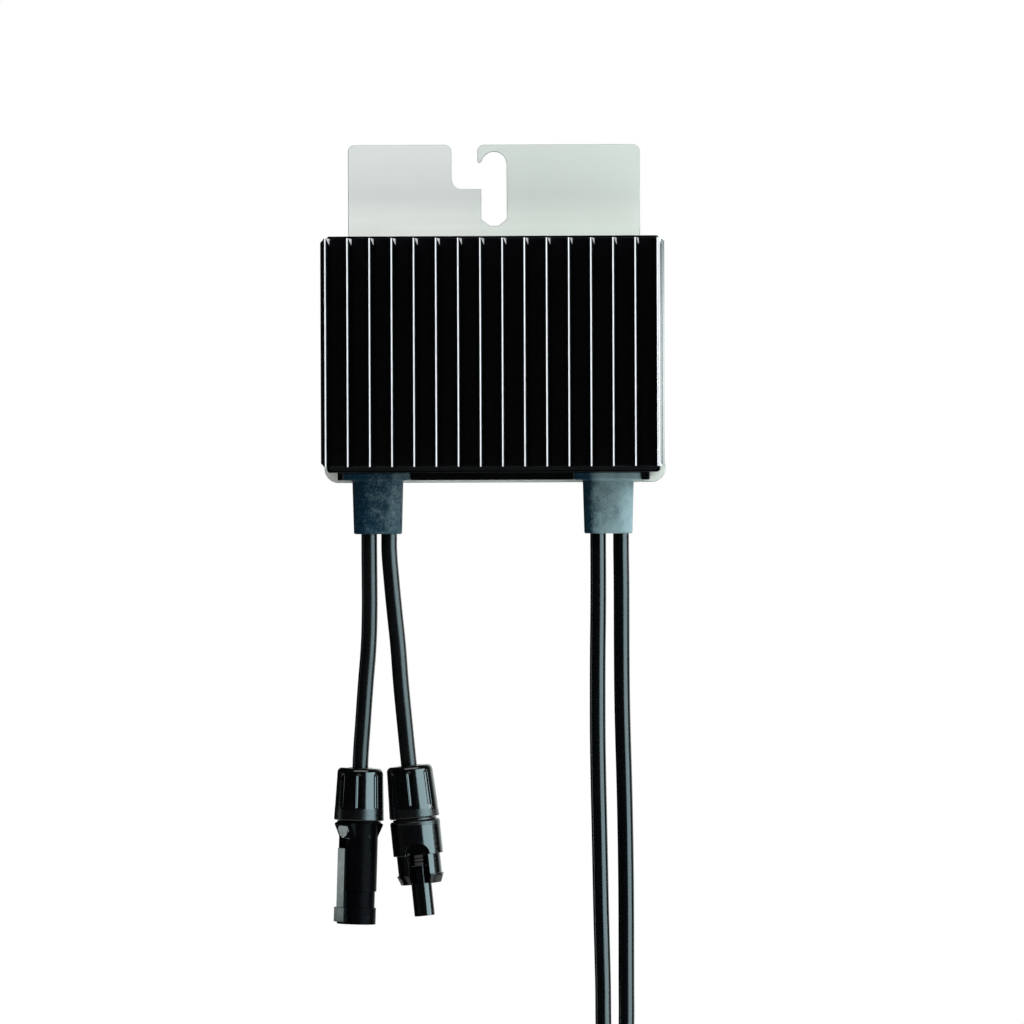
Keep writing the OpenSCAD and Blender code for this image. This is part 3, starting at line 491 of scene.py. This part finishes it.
dressed = {
    "mounting_bracket": softened("mounting_bracket", "bracket_sheet", 0.22),
    "heat_sink": softened("heat_sink", "black_metal", 0.05),
    "rear_housing": softened("rear_housing", "housing_plastic", 0.15),
    "input_gland": softened("input_gland", "gland_rubber", 0.4),
    "output_gland": softened("output_gland", "gland_rubber", 0.4),
}
for coupler in COUPLERS:
    body_look = "nut_plastic" if "probe" in coupler else None
    dressed[coupler + "_nut"] = softened(coupler + "_nut", "coupler_plastic", 0.1, "nut_plastic")
    dressed[coupler + "_body"] = softened(coupler + "_body", "coupler_plastic", 0.08, body_look)

# Solids that stay as they are, under a finish


def contact(coupler):
    return coupler + ("_pin" if "shell" in coupler else "_socket")


PLAIN = {
    "case_screws": "screw_steel", "sealing_frame": "seal_rubber", "circuit_board": "board_laminate",
    "board_screws": "screw_steel", "power_transistors": "chip_plastic", "thermal_pad": "pad_rubber",
    "inductor_core": "ferrite", "inductor_winding": "copper", "input_capacitors": "capacitor_case",
    "output_capacitors": "capacitor_case", "control_chip": "chip_plastic", "board_terminals": "terminal_metal",
    "lead_cores": "copper", "coil_tie": "tie_plastic",
}
for coupler in COUPLERS:
    PLAIN[coupler + "_seal"] = "seal_rubber"
    PLAIN[contact(coupler)] = "contact_metal"
for name, slot in PLAIN.items():
    finish(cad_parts[name], slot)


def coupler_pieces(coupler):
    return [dressed[coupler + "_nut"], dressed[coupler + "_body"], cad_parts[coupler + "_seal"],
            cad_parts[contact(coupler)]]


for name, coupler, length, extra in (
        ("input_left_lead", "input_shell", 0.094, []), ("input_right_lead", "input_probe", 0.094, []),
        ("output_left_lead", "output_shell", 1.2, [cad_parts["coil_tie"]]),
        ("output_right_lead", "output_probe", 1.2, [])):
    nodes = [name] if "input" in name else [name, name.replace("lead", "coil"), name.replace("lead", "tail")]
    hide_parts(*nodes)
    tuple(ROUTES[name][0] * MM)
    coupler_pieces(coupler) + extra

# Studio: white backdrop, a pale floor far below, and soft lights

HEART, FLOOR_Z, FLOOR_R = Vector((0, -0.02, -0.15)), -0.62, 2.4

scene = bpy.context.scene
scene.view_settings.view_transform = "Standard"
scene.view_settings.look = "None"
scene.world = bpy.data.worlds.new("studio")
scene.world.use_nodes = True


def studio_world(tree):
    """White to the camera. The surfaces mirror a pale wall, behind and to the right, and dimness elsewhere."""
    f = Nodes(tree)
    seen, way = f.seen(), f.add("ShaderNodeTexCoord", output="Generated")
    wall, right_half = f.part(way, "Y").ease(0.45, 0.85, 0.0, 1.6), f.part(way, "X").ease(-0.12, -0.02)
    lit = wall * right_half + 0.015
    glow = {"Strength": lit * (1 - seen) + seen, "Color": f.mix(seen, (0.92, 1, 0.985), (1, 1, 1))}
    f.close("ShaderNodeOutputWorld", f.add("ShaderNodeBackground", None, glow))


studio_world(scene.world.node_tree)


def softbox(name, azimuth, elevation, distance, size, radiance, colour, spread=True, mirrored=True):
    """A rectangular soft light, aimed at the object; azimuth 0 is the camera's side, 90 the right."""
    a, e = math.radians(azimuth), math.radians(elevation)
    way = Vector((math.sin(a) * math.cos(e), -math.cos(a) * math.cos(e), math.sin(e)))
    lamp = bpy.data.lights.new(name, "AREA")
    lamp.shape, lamp.size, lamp.size_y = "RECTANGLE", size[0], size[1]
    lamp.energy, lamp.color = radiance * math.pi * size[0] * size[1], colour
    box = bpy.data.objects.new(name, lamp)
    box.matrix_world = Matrix.Translation(HEART + distance * way) @ way.to_track_quat("Z", "Y").to_matrix().to_4x4()
    box.visible_camera, box.visible_diffuse, box.visible_glossy = False, spread, mirrored
    bpy.context.collection.objects.link(box)


softbox("right_box", 58, 4, 1.3, (1.3, 0.7), 12.5, (0.66, 0.93, 1.0), spread=False)
softbox("right_rear_strip", 92, 3.3, 1.3, (0.4, 0.11), 14.0, (0.94, 1.0, 1.0), spread=False)
softbox("left_strip", -104, -4.2, 1.3, (0.26, 0.11), 4.0, (0.86, 0.99, 1.0), spread=False)
softbox("side_fill", 60, 22, 1.5, (0.9, 0.7), 7.0, (0.98, 1.0, 1.0), mirrored=False)
softbox("edge_fill", 95, 40, 1.5, (0.6, 0.6), 14.0, (0.98, 1.0, 1.0), mirrored=False)
softbox("low_fill", 16, -10, 1.5, (1.2, 0.4), 1.5, (0.99, 1.0, 0.99), mirrored=False)
softbox("top_box", 8, 56, 1.8, (2.0, 1.0), 5.1, (0.99, 1.0, 0.99))


def pale_floor():
    """A matte floor that looks brighter to the camera than it is to the object."""
    f = Finish("pale_floor")
    cloud = f.noise(1.5, 2)
    glow = f.mix(f.seen(), (0.0, 0.0, 0.0), (0.56, 0.56, 0.555))
    paint = f.surface(Base_Color=f.mix(cloud, (0.82, 0.82, 0.81), (0.86, 0.86, 0.85)),
                      Roughness=0.7 + cloud * 0.05, Emission_Color=glow, Emission_Strength=1.0)
    shape = bmesh.new()
    bmesh.ops.create_circle(shape, cap_ends=True, segments=96, radius=FLOOR_R)
    bmesh.ops.translate(shape, verts=shape.verts, vec=(0, 0, FLOOR_Z))
    mesh = bpy.data.meshes.new("floor")
    shape.to_mesh(mesh)
    shape.free()
    mesh.materials.append(paint)
    floor = bpy.data.objects.new("floor", mesh)
    bpy.context.collection.objects.link(floor)


pale_floor()
